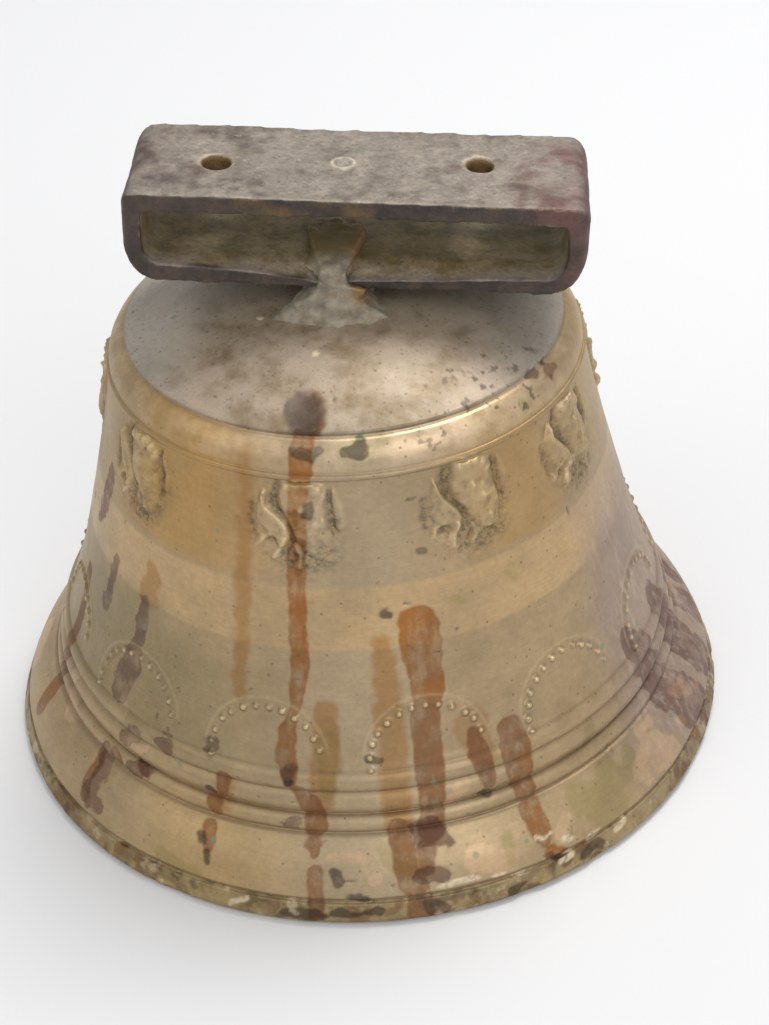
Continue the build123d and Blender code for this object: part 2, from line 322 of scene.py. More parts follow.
# the casting is a little uneven everywhere, pitted on the crown, chipped at the lip
relief += np.where(OUTER, 0.16, 0.35) * coarse + np.where(OUTER, 0.05, 0.16) * medium
relief += np.where(OUTER, 0.018, 0.05) * fine
lip = OUTER & (HIGH < 6.2) & (RAD > 91)
relief -= np.where(lip, np.clip(fractal(GRID, 5, 3, 21) - 0.16, 0, 1) * 1.3, 0)
relief += np.where(lip, 0.12 * medium, 0)
pit_noise = noise(GRID, 1.5, 31) + 0.4 * noise(GRID, 9, 32)
pits = step(0.93, 1.15, pit_noise) * OUTER
relief -= 0.22 * pits
GROOVES = [(6.2, 0.55), (19.6, 0.6), (23.9, 0.6), (30.1, 0.5), (34.9, 0.5), (116.3, 0.6)]
grooved = sum(np.exp(-(((HIGH - z) / w) ** 2)) for z, w in GROOVES) * OUTER
for z in (17.5, 18.2):
    relief -= 0.12 * np.exp(-(((HIGH - z) / 0.22) ** 2)) * WALL
rim = np.clip(np.minimum(np.abs(RAD - 89.8), 9) / 2, 0, 1)
relief *= np.where((HIGH < 1.0) & OUTER, 0.15 + 0.1 * rim, 1.0)
relief *= np.where(OUTER, 1.0, step(3.5, 9, RAD) * step(0.0, 4.0, HIGH))

# ---- stains
# each is a list of strokes, as (azimuth, height, half width) along their spines
RUST = [  # brown and orange runs
    [(-6.4, 117, 2.5), (-6.5, 110, 2.6), (-7.6, 101, 2.1), (-8, 90, 2.1), (-8.3, 79, 1.9)]
    + [(-7.8, 68, 2), (-7.8, 61, 2.1), (-8.4, 54.5, 1.8), (-8.6, 51, 1.2), (-9.4, 48.6, 1.3)]
    + [(-10.6, 44, 2.1), (-10.5, 37, 2.2), (-9.5, 33, 1.6)],
    [(-8.8, 31, 0.9), (-6.2, 28.2, 2.3), (-4.8, 24, 2.5), (-5.4, 20.4, 2.4)],
    [(-5.4, 17.6, 2.3), (-5.2, 16.4, 1)],
    [(-5, 12.4, 1.8), (-4.9, 8, 1.8), (-4.6, 2.6, 1.7)],
    [(16, 70.6, 4.4), (16.2, 65, 4.9), (16.4, 59, 4.3), (16.5, 53, 3.7), (16.4, 50, 3.3)],
    [(15.5, 46, 3.5), (15.2, 38, 3.4), (14.9, 30, 3.2), (14.5, 22, 3), (14.2, 19.6, 3.3)],
    [(12.9, 16, 2.3), (12.3, 12.6, 1.5)],
    [(10.9, 8, 2.6), (10.6, 2, 3.3)],
    [(8.9, 21, 2.4), (9.1, 14, 2.9), (9.6, 9, 2.6)],
    [(23.9, 40, 1.6), (24.2, 35, 2.6), (25, 30, 2.3), (24.9, 27.4, 1.4)],
    [(30.9, 38, 3.2), (31, 33, 3.8), (31.2, 27.5, 3.4), (31.2, 22, 2.8)],
    [(31.2, 18.4, 2.8), (31.6, 12.6, 2.6), (31.7, 11, 1.8)],
    [(32.4, 8, 2.2), (34, 5.8, 1.6)],
    [(-23.4, 23, 2.4), (-22.8, 20.8, 1.8)],
    [(-23.4, 17.6, 2.1), (-22.8, 14, 1.2)],
    [(-21.9, 30, 1.6), (-21.8, 26, 1.3)],
    [(-50.6, 20.4, 1.2), (-49.4, 17, 1.6), (-49.8, 12.6, 1.4), (-48, 9, 1)],
    [(-46.8, 22.4, 1.2), (-45, 21, 1.4)],
    [(-40.6, 24.6, 1), (-38.4, 22.6, 1.4)],
]
AMBER = [  # thin golden-brown films
    [(-19.4, 114, 1.6), (-19.8, 100, 1.8), (-19.9, 84, 1.6)]
    + [(-20, 70, 1.4), (-20.1, 57, 1.5), (-20.2, 51.4, 1.3)],
    [(-43.6, 72.6, 2.4), (-44, 66, 2.9)],
    [(8.4, 66, 2.2), (8.6, 56, 3), (8.8, 45, 3), (8.8, 30, 3.2), (8.9, 21, 3)],
    [(-3.4, 50, 2.2), (-3.2, 42, 3.2), (-3.6, 33, 3), (-4.2, 27, 2.6)],
    [(24, 42, 4), (25, 34, 3)],
    [(-21.6, 28, 2.2), (-21.6, 24, 1.6)],
]
OLIVE = [  # green-brown verdigris
    [(40.5, 15.5, 4.2), (43.5, 12, 5.6), (46, 9.5, 4)],
    [(46.8, 17.4, 2.6), (48.6, 14, 2.8)],
    [(51.6, 15, 2), (53, 16.6, 1.6)],
    [(25.4, 14.5, 1.2), (25.9, 9.5, 1)],
    [(6.5, 15.5, 2.6), (8.6, 12.6, 1.8), (12, 11.4, 1.4)],
    [(46.5, 27.5, 1.8), (46.2, 25, 1.4)],
    [(37.8, 76, 1.1), (38.6, 73.6, 1)],
    [(24.2, 74.2, 1), (25.4, 73.6, 0.8)],
    [(-2.6, 46, 2), (-2.4, 36, 2.6), (-3, 30, 1.6)],
    [(-31, 8.6, 2), (-24, 7.6, 1.2)],
    [(3.6, 114.2, 2.4), (6.8, 113.8, 2.8), (7.6, 116, 1.6)],
    [(13, 115.4, 1.2), (14, 114.6, 0.8)],
    [(49.6, 112.6, 1.2), (51.6, 112.3, 1)],
]
PLUM = [  # purple-brown patches and the ends of runs
    [(-45, 63.5, 1.8), (-45.6, 56, 2), (-46.6, 50, 2.8), (-48, 44, 3.6), (-49.2, 38, 3.2)],
    [(-35.2, 32.4, 2.6), (-34.4, 31, 2)],
    [(-42, 31, 3), (-44, 28.5, 2.4)],
    [(-38.5, 23.6, 3), (-41, 21.4, 3)],
    [(-49, 21, 2.6), (-47.6, 16, 2.4), (-48.6, 11.5, 2.4), (-45.4, 9.6, 1.8)],
    [(-57.4, 68, 1.2), (-58.4, 61, 1.8), (-59.4, 54, 1.6)],
    [(-65, 88, 2.4), (-67.2, 78, 2.8), (-69, 72, 1.8)],
    [(64.4, 39, 2.4), (66, 33, 5.5), (67.6, 26, 5.6), (69, 20, 6.5), (72, 13, 7), (76, 7.5, 5)],
    [(80, 36, 5), (83, 26, 6.5), (84, 16, 7), (86, 8, 5.5)],
    [(94, 30, 4), (95, 20, 5), (98, 10, 5.5)],
    [(13.6, 19, 3.4), (15.6, 17.4, 2.2), (17, 16.6, 1)],
    [(12, 10.8, 1.8), (14.6, 10.4, 1.4)],
    [(12.6, 3.6, 2), (14.2, 2.4, 1.2)],
    [(-9.2, 22.2, 1.6), (-8.2, 20.8, 1.4)],
    [(31.8, 7.4, 1.4), (34.6, 4.4, 2)],
    [(62.6, 115, 2), (65.6, 114.4, 1.6)],
    [(-10.2, 35, 1.4), (-9.4, 32.8, 1.1)],
]
DARK = [  # thick blue-black drops and crust
    [(-25.4, 38, 1.8), (-25.2, 36.2, 2)],
    [(-24.6, 16, 1.2), (-24.2, 15, 1)],
    [(-22.9, 12.6, 0.7), (-22.4, 10.8, 1)],
    [(24.1, 24.8, 1.5), (24.6, 24.2, 1.2)],
    [(-9.3, 32.6, 0.9)],
    [(-24.4, 26.4, 1.2), (-23.4, 25.6, 0.8)],
    [(-9.6, 2.8, 0.5), (-7, 3.4, 1.2), (-3.6, 2.6, 0.7)],
    [(-2.4, 3.6, 0.6), (1, 3, 1.3), (4.6, 3.8, 0.9)],
    [(0.6, 7.2, 1.2), (2.4, 6.6, 1)],
    [(-1.8, 12.6, 0.9), (-1.6, 10.6, 0.8)],
    [(9.6, 73.8, 0.7), (10.4, 73.4, 0.5)],
    [(18.2, 88, 0.5), (18.9, 88.1, 0.4)],
    [(4.4, 38, 0.9), (6.4, 37.4, 0.8)],
    [(24.9, 2.2, 1.2), (27, 3, 1)],
    [(37.4, 3.4, 0.9), (39.6, 4.6, 1), (41.6, 3.4, 0.7)],
    [(3.8, 114, 1.2), (6.6, 113.8, 1.5), (7.4, 115.6, 1)],
    [(-8, 114.2, 0.9), (-4.2, 113.4, 1.4), (-2.2, 114.4, 1)],
    [(56.6, 116.4, 1.4), (59.4, 116, 1)],
    [(-5.5, 100.2, 1.4), (-4.6, 102.6, 0.9)],
]
BARE = [  # cleaner, pinkish metal
    [(54, 12, 3.8), (58, 13, 5.6), (61.4, 9.6, 4)],
    [(57.4, 18, 2), (60.6, 17.6, 1.6)],
    [(20.4, 12.4, 3.4), (24.6, 9.8, 3.6)],
    [(70.2, 17, 1.1), (73.4, 15.4, 2.2), (74.6, 12.6, 1.6)],
    [(66.4, 12.8, 1.3), (67.6, 11.6, 1.2)],
    [(75.6, 12.4, 1), (77.2, 11.2, 1.2)],
    [(-46.4, 34, 2.6), (-49.4, 33.2, 1.6)],
    [(-43.6, 27.8, 2), (-40, 28, 1.8), (-38.4, 30, 1.2)],
    [(-47, 24.8, 1.8), (-44.6, 25.2, 1.4)],
    [(2, 15.6, 1.6), (-2.6, 15.8, 1.1)],
    [(4.6, 11, 1.8)],
    [(17.6, 24.6, 1.8), (20.4, 28.6, 1.6)],
    [(16.2, 71.6, 1), (17, 70.6, 0.7)],
    [(-8, 81, 1)],
    [(34.6, 11, 2), (36.4, 13.6, 1.4)],
]
CREAM = [  # pale chalky chips on the lip
    [(33.4, 4.6, 0.9), (35.4, 5, 1.1)],
    [(39.4, 6.6, 0.9), (41, 6.8, 0.7)],
    [(44.4, 4.6, 0.8), (46.6, 5.4, 0.9)],
    [(30.4, 12.4, 0.8), (31.6, 11.4, 0.7), (33, 12, 0.6)],
    [(35, 9.8, 0.6), (36.4, 8.6, 0.5)],
    [(12, 7.6, 0.4), (18, 8.6, 0.35), (24, 7, 0.3)],
    [(-18, 2.6, 0.8), (-15.6, 4.8, 0.7)],
]

# the side that stands away from the light carries the same kinds of run
lot = np.random.default_rng(23)
for run in range(17):
    at = lot.uniform(100, 292)
    top, length, half = lot.uniform(32, 112), lot.uniform(16, 62), lot.uniform(1.2, 4.2)
    spine = []
    for share in np.linspace(0, 1, 6):
        at += lot.normal(0, 0.5)
        spine.append((at, max(top - length * share, 2.0), half * lot.uniform(0.75, 1.1)))
    kind = lot.integers(0, 5)
    (RUST, AMBER, PLUM, RUST, AMBER)[kind].append(spine)
    if kind == 0 and spine[-1][1] > 6:
        DARK.append([(at, spine[-1][1] - 1.0, half * 0.5), (at + 0.3, spine[-1][1] - 2.0, half * 0.4)])
for blob in range(34):
    at, up, half = lot.uniform(95, 305), lot.uniform(6, 34), lot.uniform(1.2, 5.0)
    spine = [(at, up, half), (at + lot.normal(0, 4), up + lot.normal(0, 2.5), half * 0.7)]
    (OLIVE, PLUM, BARE, BARE, DARK)[min(int(lot.integers(0, 5)), 3 if half > 2 else 4)].append(spine)

haze = fractal(GRID, 40, 3, 41)


def beside(azimuth, width):
    """1 at an azimuth, fading to each side of it."""
    return np.exp(-((turned(azimuth) / width) ** 2))


def on_wall(value):
    """A value held between 0 and 1, on the outer wall only."""
    return np.clip(value, 0, 1) * WALL


low_drip = beside(32, 2.6) * step(24, 16, HIGH)
masks = {
    "rust": stain(RUST, 0.6, 1.1),
    "amber": stain(AMBER, 1.0, 2.8) * (0.45 + 0.55 * step(88, 76, HIGH)),
    "olive": stain(OLIVE, 1.0, 1.7),
    "plum": stain(PLUM, 1.5, 1.0),
    "dark": stain(DARK, 1.0, 1.0),
    "bare": stain(BARE, 1.0, 0.9),
    "cream": stain(CREAM, 0.7, 0.5),
    # the runs are orange high up and at one low drip, brown elsewhere
    "fresh": on_wall(step(38, 54, HIGH) + 0.8 * low_drip + 0.5 * haze),
    "beads": np.clip(beaded, 0, 1),
    # the shoulder is rubbed bright in front and to the right, and a painted highlight lies over it there
    "rubbed": on_wall(
        (beside(24, 36) + 0.4 * medium) * step(108.6, 110, HIGH) * step(105, 115, HIGH + 2 * coarse)
    ),
    "far": on_wall(step(50, 68, AZ + 8 * coarse) * step(150, 110, AZ) * step(95, 60, HIGH)),
    "grooved": np.clip(grooved, 0, 1),
    "crust": np.clip(crusted, 0, 1),
    "pits": pits,
    "band": step(64.6, 65.6, HIGH) * step(81.2, 80.2, HIGH) * WALL,
    "crown": CROWN.astype(float),
    "lip": lip * (0.7 + 0.3 * step(-0.3, 0.4, medium)),
    "inside": 1.0 - OUTER,
    # raised relief, rubbed bright and given a painted highlight
    "raised_and_highlit": np.clip(0.35 * ridged + 0.9 * carved, 0, 1),
    # grey in front, partly a grey film and partly a painted reflection of the pale room, golden metal at
    # each side of it
    "grey": on_wall(beside(4, 19) + 0.35 * haze),
    "golden": step(80, 84, HIGH)
    * on_wall(beside(-34, 22) + 0.6 * beside(44, 16) + beside(190, 60) + 0.4 * haze),
    "low_gold": on_wall(0.8 * beside(-18, 15) * step(34, 14, HIGH) + 0.3 * haze),
    # painted light on the crown's left and right sides, a paler grey against the loop's cast shadow
    "shade": np.clip(step(14, 44, np.abs(GRID[:, 0]) + 0.3 * GRID[:, 1]) + 0.3 * haze, 0, 1) * CROWN,
    # painted shade on the bell's left side, in a greenish grey
    "left_side_shade": on_wall(beside(-52, 26) * step(70, 54, HIGH + 4 * medium) * step(26, 38, HIGH)),
}


def add_to(name, value):
    masks[name] = np.maximum(masks[name], value)


# where the crown's blotch spills over to the front run, as (x, y, radius)
BLOTCHES = [(-6.2, -47.6, 4.6), (-5.6, -51.4, 4.0)]
blotch = np.full(len(AZ), -9.0)
for x, y, r in BLOTCHES:
    blotch = np.maximum(blotch, np.where(CROWN, r - np.hypot(GRID[:, 0] - x, GRID[:, 1] - y), -9))
add_to("dark", 0.7 * step(-0.8, 1.4, blotch + 0.9 * ragged))
add_to("rust", step(-1.6, 0.4, blotch + 0.7 * ragged) * step(-8, -2.5, GRID[:, 0] + 1.5 * ragged))
# chalk, crust and rust on the lip
chip = fractal(GRID, 4.5, 3, 61)
add_to("cream", 0.5 * lip * step(0.32, 0.55, chip))
add_to("dark", 0.35 * lip * step(-0.30, -0.50, chip))
add_to("rust", 0.45 * lip * step(0.12, 0.40, fractal(GRID, 6, 3, 62)))
# dark flecks of crust along the shoulder's edge at the right
edge_on = beside(44, 30) * step(108, 113, HIGH) * step(40, 48, RAD) * OUTER
flecks = step(0.34, 0.50, fractal(GRID, 2.2, 3, 52) * np.sqrt(edge_on) + 0.15 * edge_on - 0.1)
add_to("dark", 0.6 * flecks)
# one white dot on the crown
dot = np.where(CROWN, np.hypot(GRID[:, 0] + 4, GRID[:, 1] + 32), 9)
add_to("cream", step(1.1, 0.7, dot))

# ---- mesh helpers


def make_piece(name, points, faces, values):
    """A smooth-shaded mesh object from mm points, quads and named values per vertex."""
    mesh = bpy.data.meshes.new(name)
    mesh.vertices.add(len(points))
    mesh.vertices.foreach_set("co", (points * MM).astype(np.float32).ravel())
    mesh.loops.add(faces.size)
    mesh.loops.foreach_set("vertex_index", faces.astype(np.int32).ravel())
    mesh.polygons.add(len(faces))
    mesh.polygons.foreach_set("loop_start", np.arange(0, faces.size, faces.shape[1], dtype=np.int32))
    mesh.polygons.foreach_set("use_smooth", np.ones(len(faces), bool))
    mesh.update(calc_edges=True)
    mesh.validate()
    add_values(mesh, values)
    piece = bpy.data.objects.new(name, mesh)
    bpy.context.scene.collection.objects.link(piece)
    return piece


def add_values(mesh, values):
    """Stores each named value per vertex, for the materials to read."""
    for key, value in values.items():
        attribute = mesh.attributes.new(key, "FLOAT", "POINT")
        attribute.data.foreach_set("value", np.asarray(value, np.float32))


def fit(piece, body, slot_name, material, *nodes):
    """The piece stands for these CAD nodes, rides on their body and takes a material."""
    piece.data.materials.clear()
    piece.data.materials.append(material)
    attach(piece, body)
    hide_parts(*nodes)
    return piece


def recast(name, node, voxel, lumps=()):
    """A copy of a CAD node's mesh, joined with lumps, each the hull of some mm
    points, and given even, fine faces to be worked like clay."""
    shape = bmesh.new()
    shape.from_mesh(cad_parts[node].data)
    bmesh.ops.remove_doubles(shape, verts=shape.verts, dist=1e-6)
    for corners in lumps:
        added = [shape.verts.new(np.array(corner) * MM) for corner in corners]
        bmesh.ops.convex_hull(shape, input=added)
    mesh = bpy.data.meshes.new(name)
    shape.to_mesh(mesh)
    shape.free()
    piece = bpy.data.objects.new(name, mesh)
    bpy.context.scene.collection.objects.link(piece)
    remesh = piece.modifiers.new("even", "REMESH")
    remesh.mode = "VOXEL"
    remesh.voxel_size = voxel * MM
    depsgraph = bpy.context.evaluated_depsgraph_get()
    worked = bpy.data.meshes.new_from_object(piece.evaluated_get(depsgraph))
    piece.modifiers.clear()
    piece.data = worked
    worked.name = name
    bpy.data.meshes.remove(mesh)
    soften(worked, 3)
    return piece


def soften(mesh, passes, strength=0.5):
    """Moves each vertex part of the way to the middle of its neighbours."""
    points, starts, ends = points_of(mesh), *edges_of(mesh)
    count = np.bincount(np.concatenate([starts, ends]), minlength=len(points))[:, None]
    for _ in range(passes):
        total = np.zeros_like(points)
        np.add.at(total, starts, points[ends])
        np.add.at(total, ends, points[starts])
        points += strength * (total / np.maximum(count, 1) - points)
    set_points(mesh, points)


def points_of(mesh):
    flat = np.zeros(len(mesh.vertices) * 3, np.float32)
    mesh.vertices.foreach_get("co", flat)
    return flat.reshape(-1, 3).astype(float) / MM


def edges_of(mesh):
    pairs = np.zeros(len(mesh.edges) * 2, np.int32)
    mesh.edges.foreach_get("vertices", pairs)
    return pairs[0::2], pairs[1::2]


def normals_of(mesh):
    flat = np.zeros(len(mesh.vertices) * 3, np.float32)
    mesh.vertices.foreach_get("normal", flat)
    return flat.reshape(-1, 3).astype(float)


def set_points(mesh, points):
    mesh.vertices.foreach_set("co", (points * MM).astype(np.float32).ravel())
    mesh.polygons.foreach_set("use_smooth", np.ones(len(mesh.polygons), bool))
    mesh.update()


def jutting(mesh, passes=4):
    """How far each vertex stands out of its surroundings, in mm: edges are positive."""
    points, starts, ends = points_of(mesh), *edges_of(mesh)
    count = np.maximum(np.bincount(np.concatenate([starts, ends]), minlength=len(points))[:, None], 1)
    flat = points.copy()
    for _ in range(passes):
        total = np.zeros_like(flat)
        np.add.at(total, starts, flat[ends])
        np.add.at(total, ends, flat[starts])
        flat = total / count
    return np.einsum("ij,ij->i", points - flat, normals_of(mesh))


# ---- materials


def tone(red, green, blue):
    """An sRGB colour, 0 to 255, as linear RGBA."""
    return tuple(((part / 255 + 0.055) / 1.055) ** 2.4 for part in (red, green, blue)) + (1.0,)


BASE_LOW, BASE_HIGH = tone(162, 138, 104), tone(174, 150, 114)
GOLDEN, GREY_FILM_AND_REFLECTION = tone(174, 138, 84), tone(170, 149, 118)
BAND_TONE, BARE_TONE = tone(188, 158, 116), tone(190, 160, 126)
# the last here is the shoulder's rubbed metal with a painted highlight on it
LOW_GOLD, FAR_FILM, RUBBED_HIGHLIGHT = tone(184, 152, 100), tone(152, 132, 118), tone(224, 198, 164)
# the last here is a paler grey, painted light for the crown's sides
CROWN_LOW, CROWN_HIGH, CROWN_SIDES_LIT = tone(130, 110, 82), tone(168, 151, 130), tone(168, 158, 144)


class Look:
    """A node material, built with short calls. Where a call takes a socket or a
    number, it also takes the name of a value stored on the mesh. Coats of colour
    go on one over another."""

    def __init__(self, name):
        self.material = bpy.data.materials.new(name)
        self.material.use_nodes = True
        self.tree = self.material.node_tree
        self.shader = self.tree.nodes["Principled BSDF"]
        place = self.node("ShaderNodeTexCoord").outputs["Object"]
        self.mm = self.vector("SCALE", place, scale=1000.0)
        self.colour = None

    def node(self, kind, **settings):
        made = self.tree.nodes.new(kind)
        for key, value in settings.items():
            setattr(made, key, value)
        return made

    def put(self, socket, value):
        if isinstance(value, str):
            value = self.value(value)
        if isinstance(value, bpy.types.NodeSocket):
            self.tree.links.new(value, socket)
        else:
            socket.default_value = value

    def vector(self, operation, first, second=None, scale=None):
        made = self.node("ShaderNodeVectorMath", operation=operation)
        self.put(made.inputs[0], first)
        if second is not None:
            self.put(made.inputs[1], second)
        if scale is not None:
            made.inputs["Scale"].default_value = scale
        return made.outputs[0]

    def value(self, name):
        return self.node("ShaderNodeAttribute", attribute_name=name).outputs["Fac"]

    def maths(self, operation, first, second=0.0, third=0.0, clamp=False):
        made = self.node("ShaderNodeMath", operation=operation, use_clamp=clamp)
        for socket, given in zip(made.inputs, (first, second, third)):
            self.put(socket, given)
        return made.outputs[0]

    def times(self, first, second):
        return self.maths("MULTIPLY", first, second)

    def noise(self, size, detail=3.0, roughness=0.55, squash=None):
        """Noise with blobs about `size` mm across, 0 to 1."""
        made = self.node("ShaderNodeTexNoise")
        place = self.mm if squash is None else self.vector("MULTIPLY", self.mm, squash)
        self.put(made.inputs["Vector"], place)
        made.inputs["Scale"].default_value = 1 / size
        made.inputs["Detail"].default_value = detail
        made.inputs["Roughness"].default_value = roughness
        return made.outputs["Fac"]

    def dots(self, size):
        """Distance to the nearest of scattered points, in cells of `size` mm."""
        made = self.node("ShaderNodeTexVoronoi", feature="F1")
        self.put(made.inputs["Vector"], self.mm)
        made.inputs["Scale"].default_value = 1 / size
        return made.outputs["Distance"]

    def range(self, value, low, high, to_low=0.0, to_high=1.0):
        made = self.node("ShaderNodeMapRange", interpolation_type="SMOOTHSTEP")
        for socket, given in zip(made.inputs, (value, low, high, to_low, to_high)):
            self.put(socket, given)
        return made.outputs[0]

    def mix(self, factor, first, second, blend="MIX"):
        made = self.node("ShaderNodeMix", data_type="RGBA", blend_type=blend)
        self.put(made.inputs[0], factor)
        self.put(made.inputs[6], first)
        self.put(made.inputs[7], second)
        return made.outputs[2]

    def coat(self, factor, colour, blend="MIX"):
        self.colour = self.mix(factor, self.colour, colour, blend)

    def bump(self, height, strength, distance, normal=None):
        made = self.node("ShaderNodeBump")
        made.inputs["Strength"].default_value = strength
        made.inputs["Distance"].default_value = distance
        self.put(made.inputs["Height"], height)
        if normal is not None:
            self.put(made.inputs["Normal"], normal)
        return made.outputs[0]

    def grey_of(self, value):
        made = self.node("ShaderNodeCombineColor")
        for socket in made.inputs:
            self.put(socket, value)
        return made.outputs[0]

    def finish(self, metallic, roughness, normal, specular=0.5):
        self.put(self.shader.inputs["Base Color"], self.colour)
        self.put(self.shader.inputs["Metallic"], metallic)
        self.put(self.shader.inputs["Roughness"], roughness)
        self.put(self.shader.inputs["Normal"], normal)
        self.shader.inputs["Specular IOR Level"].default_value = specular
        return self.material


def bell_look():
    """Aged cast bronze: ochre to grey, with runs, crust and a turned bright band."""
    look = Look("bell_bronze")
    mottle = look.noise(7, 5, 0.62)
    blotchy = look.noise(22, 4, 0.6)
    speck = look.noise(1.3, 4, 0.68)
    streak = look.noise(7, 3, 0.6, squash=(1.0, 1.0, 16.0))
    dribble = look.noise(2.2, 4, 0.6, squash=(1.0, 1.0, 0.16))
    look.colour = look.mix(look.range(mottle, 0.3, 0.7), BASE_LOW, BASE_HIGH)
    look.coat("golden", GOLDEN)
    look.coat("low_gold", LOW_GOLD)
    # grey film in front, with a painted reflection of the pale room in it
    look.coat("grey", GREY_FILM_AND_REFLECTION)
    look.coat(look.times("band", look.range(blotchy, 0.25, 0.6, 0.35, 0.85)), BAND_TONE)
    look.coat(look.times("far", 0.8), FAR_FILM)
    # rubbed shoulder metal with a painted highlight on it, in front and to the right
    look.coat(look.times("rubbed", look.range(mottle, 0.3, 0.55, 0.45, 1.0)), RUBBED_HIGHLIGHT)
    patchy = look.maths("MULTIPLY_ADD", mottle, 0.45, look.times(blotchy, 0.55))
    crown_tone = look.mix(look.range(patchy, 0.38, 0.58), CROWN_LOW, CROWN_HIGH)
    crown_tone = look.mix(look.range(speck, 0.56, 0.7, 0.0, 0.45), crown_tone, tone(96, 88, 70))
    # painted light: the crown's sides are paler, against the loop's shadow
    crown_tone = look.mix("shade", crown_tone, CROWN_SIDES_LIT)
    look.coat("crown", crown_tone)
    lip_tone = look.mix(look.range(mottle, 0.40, 0.60), tone(116, 94, 62), tone(156, 138, 98))
    lip_tone = look.mix(look.range(speck, 0.52, 0.66, 0.0, 0.6), lip_tone, tone(112, 92, 62))
    look.coat(look.times("lip", 0.85), lip_tone)
    # clean metal shows through first, then films darken what is under them
    look.coat(look.times("bare", look.range(mottle, 0.3, 0.55, 0.45, 0.85)), BARE_TONE)
    orange = look.range(mottle, 0.42, 0.58)
    orange = look.maths("MULTIPLY_ADD", orange, 0.45, look.times("fresh", 0.75), clamp=True)
    rust_film = look.mix(orange, (0.52, 0.37, 0.28, 1), (0.64, 0.35, 0.12, 1))
    runny = look.maths("MULTIPLY_ADD", dribble, 0.45, look.times(mottle, 0.55))
    films = (
        ("amber", 0.85, (0.80, 0.60, 0.38, 1), blotchy),
        # the next is painted shade on the left side, laid on like the films
        ("left_side_shade", 0.9, (0.70, 0.76, 0.72, 1), mottle),
        ("olive", 0.65, (0.74, 0.80, 0.62, 1), mottle),
        ("plum", 0.95, (0.46, 0.36, 0.36, 1), mottle),
        ("rust", 1.0, rust_film, runny),
        ("dark", 0.92, (0.26, 0.25, 0.28, 1), mottle),
    )
    for name, strength, film, breakup in films:
        mask = look.value(name)
        thick = look.times(mask, look.range(breakup, 0.32, 0.56, 0.45, 1.0))
        rim = look.times(mask, look.maths("SUBTRACT", 1.0, mask))
        thick = look.maths("MULTIPLY_ADD", rim, 1.2, thick, clamp=True)
        look.coat(look.times(thick, strength), film, "MULTIPLY")
    look.coat(look.times("cream", look.range(speck, 0.3, 0.55, 0.3, 0.8)), tone(218, 202, 168))
    look.coat(look.times("far", look.range(dribble, 0.50, 0.70, 0.0, 0.3)), tone(196, 178, 162))
    crust_film = look.mix(look.range(speck, 0.40, 0.60), (0.34, 0.38, 0.42, 1), (0.78, 0.74, 0.66, 1))
    look.coat("crust", crust_film, "MULTIPLY")
    look.coat(look.times("grooved", 0.3), (0.34, 0.31, 0.30, 1), "MULTIPLY")
    # the raised relief is painted bright: rubbed high spots with a painted highlight on them
    look.coat(look.times("raised_and_highlit", 0.50), tone(222, 200, 158))
    # a painted shadow rings the foot of each bead, and each top is painted bright: polished metal with a
    # painted highlight
    edge = look.maths("SUBTRACT", 1.0, "beads")
    edge = look.times(edge, look.range("beads", 0.02, 0.3))
    look.coat(look.times(edge, 0.45), tone(118, 100, 76))
    look.coat(look.range("beads", 0.45, 0.9, 0.0, 0.6), tone(222, 198, 150))
    look.coat(look.times("pits", 0.6), tone(92, 82, 66))
    # pinhole specks, dark and a few green
    near = look.dots(3.6)
    look.coat(look.range(near, 0.13, 0.06, 0.0, 0.5), tone(98, 84, 66))
    near = look.dots(12.0)
    look.coat(look.range(near, 0.09, 0.05, 0.0, 0.6), tone(112, 134, 108))
    near = look.dots(1.9)
    crown_specks = look.times("crown", look.range(near, 0.34, 0.05))
    crown_specks = look.times(crown_specks, look.range(speck, 0.42, 0.62, 0.0, 0.6))
    look.coat(crown_specks, tone(92, 84, 68))
    inside_tone = look.mix(look.range(mottle, 0.3, 0.7), tone(84, 70, 50), tone(116, 98, 72))
    look.coat("inside", inside_tone)
    shade = look.times(look.range(streak, 0.3, 0.7, 0.97, 1.03), look.range(blotchy, 0.3, 0.7, 0.90, 1.10))
    shade = look.times(shade, look.range(speck, 0.28, 0.72, 0.93, 1.06))
    look.coat(1.0, look.grey_of(shade), "MULTIPLY")
    # films and crust are duller than the metal, and the beads and band shine
    dull = "crust"
    for name in ("rust", "plum", "inside"):
        dull = look.maths("ADD", dull, name)
    dull = look.maths("MULTIPLY_ADD", "far", 0.4, dull)
    dull = look.maths("MULTIPLY_ADD", "crown", 0.5, dull, clamp=True)
    rough = look.range(mottle, 0.25, 0.75, 0.40, 0.50)
    rough = look.maths("MULTIPLY_ADD", dull, 0.12, rough)
    rough = look.maths("MULTIPLY_ADD", "band", -0.04, rough)
    rough = look.maths("MULTIPLY_ADD", "beads", -0.16, rough)
    metal = look.maths("MULTIPLY_ADD", dull, -0.40, 0.66)
    normal = look.bump(look.noise(0.8, 4, 0.7), 0.22, 0.00012)
    normal = look.bump(look.noise(5.0, 3, 0.55), 0.16, 0.0004, normal)
    return look.finish(metal, rough, normal)


